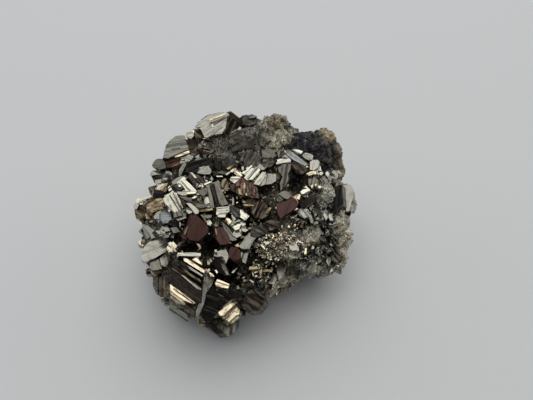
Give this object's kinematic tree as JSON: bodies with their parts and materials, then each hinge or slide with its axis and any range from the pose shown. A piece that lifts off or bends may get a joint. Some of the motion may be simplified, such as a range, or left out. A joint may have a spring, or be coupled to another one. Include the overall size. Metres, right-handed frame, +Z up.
{
  "type": "pyrite specimen",
  "caption": "Hand-sized pyrite cluster: striated blocky crystals grown on a lump of fine-grained pyrite, cut flat below so that it stands as a display piece.",
  "frame": {"origin": "middle of the box of the stone, at the flat base that it rests on", "axes": "+Z up from the base, -Y towards the viewer who sees the crystal side from the front, +X to that viewer's right"},
  "size_m": [0.0662, 0.0658, 0.044],
  "materials": {
    "pyrite": "bright metallic lustre, silvery with a faint brass tint on striated faces, duller grey in the fine-grained mass, with dark red-brown tarnish on some faces"
  },
  "bodies": {
    "root": {"pyrite_cluster": "pyrite"}
  },
  "joints": []
}
